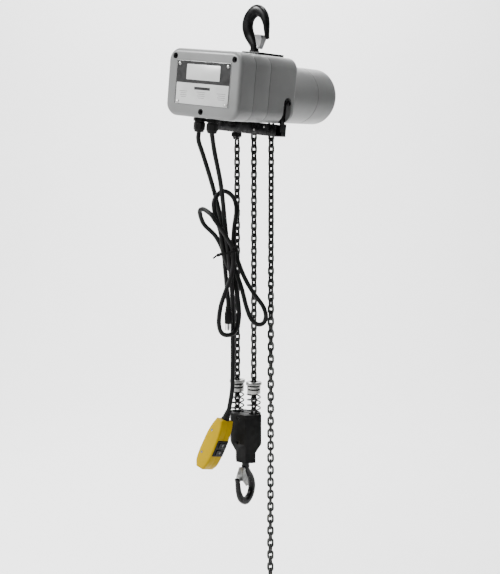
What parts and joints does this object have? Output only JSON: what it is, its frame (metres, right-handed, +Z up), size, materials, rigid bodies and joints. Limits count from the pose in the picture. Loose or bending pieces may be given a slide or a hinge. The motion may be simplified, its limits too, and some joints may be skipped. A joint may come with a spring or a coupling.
{
  "type": "electric chain hoist",
  "caption": "Electric chain hoist: geared motor in a painted housing, swivel top hook, double-fall load chain with sprung hook block, push-button pendant and tied-up power cord",
  "frame": {"origin": "bearing point inside the top hook, where a beam or trolley pin carries it", "axes": "+Z up, +X to the right when facing the nameplate, +Y from the nameplate towards the motor; the body hangs 6.2 degrees down at +X and the chains hang true along Z"},
  "size_m": [0.1752, 0.3609, 1.1264],
  "materials": {
    "casing_paint": "silver-grey enamel, semi-gloss",
    "nameplate_film": "two-tone panel, black above and silver below",
    "black_steel": "black, semi-gloss",
    "black_casting": "black powder coat on a casting",
    "steel": "machined",
    "zinc": "bright zinc plate",
    "copper_winding": "enamelled windings",
    "aluminium_can": "drawn can",
    "chain_steel": "dark heat-treated links",
    "black_plastic": "moulded",
    "cable_rubber": "rubber sheath",
    "yellow_plastic": "moulded, slight sheen"
  },
  "bodies": {
    "hoist": {"front_cover": "casing_paint", "gear_case": "casing_paint", "rear_housing": "casing_paint", "motor_shell": "casing_paint", "motor_end_cap": "casing_paint", "nameplate": "nameplate_film", "cover_screw_1": "black_steel", "cover_screw_2": "black_steel", "cover_screw_3": "black_steel", "suspension_plate": "black_steel", "chain_anchor": "black_steel", "chain_stop": "black_steel", "sheave_bearing_front": "steel", "sheave_bearing_rear": "steel", "rotor_bearing_front": "steel", "rotor_bearing_rear": "steel", "limit_bar_screw_left": "zinc", "limit_bar_screw_right": "zinc", "stator": "copper_winding", "run_capacitor": "aluminium_can", "load_chain_upper": "chain_steel", "dead_fall_upper": "chain_steel", "power_gland": "black_plastic", "control_gland": "black_plastic", "contactor": "black_plastic", "cord_tie": "black_plastic", "switch_panel": "black_plastic", "power_cord": "cable_rubber", "power_plug": "cable_rubber", "pendant_cable": "cable_rubber", "pendant_relief": "cable_rubber", "pendant_case_left": "yellow_plastic", "pendant_case_right": "yellow_plastic"},
    "top_hook_assembly": {"top_hook": "black_steel", "top_hook_nut": "steel"},
    "top_latch": {"top_hook_latch": "zinc"},
    "limit_lever": {"limit_bar": "black_steel"},
    "sheave": {"load_sheave": "steel"},
    "final_drive": {"final_gear": "steel"},
    "intermediate_shaft": {"layshaft": "steel"},
    "motor_rotor": {"rotor": "steel", "brake_disc": "steel"},
    "hook_block": {"block_case_front": "black_casting", "block_case_rear": "black_casting", "block_screw_upper": "steel", "block_screw_lower": "steel", "idler_axle": "steel", "hook_bearing": "steel", "load_chain_lower": "chain_steel", "cushion_spring_left": "black_steel", "cushion_spring_right": "black_steel"},
    "idler": {"idler_wheel": "steel"},
    "lower_hook": {"load_hook": "black_steel", "load_hook_nut": "steel"},
    "lower_latch": {"load_hook_latch": "zinc"},
    "cushion_left": {"cushion_cup_left": "zinc"},
    "cushion_right": {"cushion_cup_right": "zinc"},
    "up_switch": {"up_button": "black_plastic"},
    "down_switch": {"down_button": "black_plastic"}
  },
  "joints": [
    {"name": "block_lift", "type": "slide", "parent": "hoist", "child": "hook_block", "axis": [0, 0, 1], "range_m": [0, 0.24], "deforming": ["load_chain_lower"]},
    {"name": "idler_spin", "type": "hinge", "parent": "hook_block", "child": "idler", "pos_m": [-0.02764, 0, -0.789], "axis": [0, 1, 0], "continuous": true},
    {"name": "sheave_spin", "type": "hinge", "parent": "hoist", "child": "sheave", "pos_m": [0.01236, 0, -0.16027], "axis": [0, 1, 0], "continuous": true},
    {"name": "load_hook_swivel", "type": "hinge", "parent": "hook_block", "child": "lower_hook", "pos_m": [-0.02764, 0, -0.85], "axis": [0, 0, 1], "continuous": true},
    {"name": "load_latch_hinge", "type": "hinge", "parent": "lower_hook", "child": "lower_latch", "pos_m": [-0.02764, -0.0112, -0.8635], "axis": [1, 0, 0], "range_deg": [0, 15], "stiffness_Nm_per_rad": 0.03, "springref_deg": -28.65},
    {"name": "top_hook_swivel", "type": "hinge", "parent": "hoist", "child": "top_hook_assembly", "pos_m": [0, 0, 0], "axis": [0.108, 0, 0.9942], "continuous": true},
    {"name": "top_latch_hinge", "type": "hinge", "parent": "top_hook_assembly", "child": "top_latch", "pos_m": [0.00503, 0, -0.05738], "axis": [0, -1, 0], "range_deg": [0, 15], "stiffness_Nm_per_rad": 0.03, "springref_deg": -28.65},
    {"name": "limit_bar_lift", "type": "slide", "parent": "hoist", "child": "limit_lever", "axis": [0.108, 0, 0.9942], "range_m": [0, 0.002], "stiffness_N_per_m": 400, "springref_m": -0.01},
    {"name": "cushion_left_slide", "type": "slide", "parent": "hook_block", "child": "cushion_left", "axis": [0, 0, -1], "range_m": [0, 0.016], "stiffness_N_per_m": 900, "springref_m": -0.005, "deforming": ["cushion_spring_left"]},
    {"name": "cushion_right_slide", "type": "slide", "parent": "hook_block", "child": "cushion_right", "axis": [0, 0, -1], "range_m": [0, 0.016], "stiffness_N_per_m": 900, "springref_m": -0.005, "deforming": ["cushion_spring_right"]},
    {"name": "rotor_spin", "type": "hinge", "parent": "hoist", "child": "motor_rotor", "pos_m": [-0.01512, 0, -0.13918], "axis": [0, 1, 0], "continuous": true},
    {"name": "layshaft_spin", "type": "hinge", "parent": "hoist", "child": "intermediate_shaft", "pos_m": [0.01208, 0, -0.12652], "axis": [0, 1, 0], "continuous": true},
    {"name": "final_gear_spin", "type": "hinge", "parent": "hoist", "child": "final_drive", "pos_m": [0.01236, 0, -0.16027], "axis": [0, 1, 0], "continuous": true},
    {"name": "up_press", "type": "slide", "parent": "hoist", "child": "up_switch", "axis": [-0.9489, 0.0381, 0.3133], "range_m": [0, 0.002], "stiffness_N_per_m": 400, "springref_m": -0.002},
    {"name": "down_press", "type": "slide", "parent": "hoist", "child": "down_switch", "axis": [-0.9489, 0.0381, 0.3133], "range_m": [0, 0.002], "stiffness_N_per_m": 400, "springref_m": -0.002}
  ],
  "couplings": [
    {"joint": "sheave_spin", "follows": "block_lift", "rad_per_m": 100},
    {"joint": "idler_spin", "follows": "block_lift", "rad_per_m": -50},
    {"joint": "layshaft_spin", "follows": "rotor_spin", "ratio": -0.33333},
    {"joint": "final_gear_spin", "follows": "rotor_spin", "ratio": 0.10784}
  ]
}
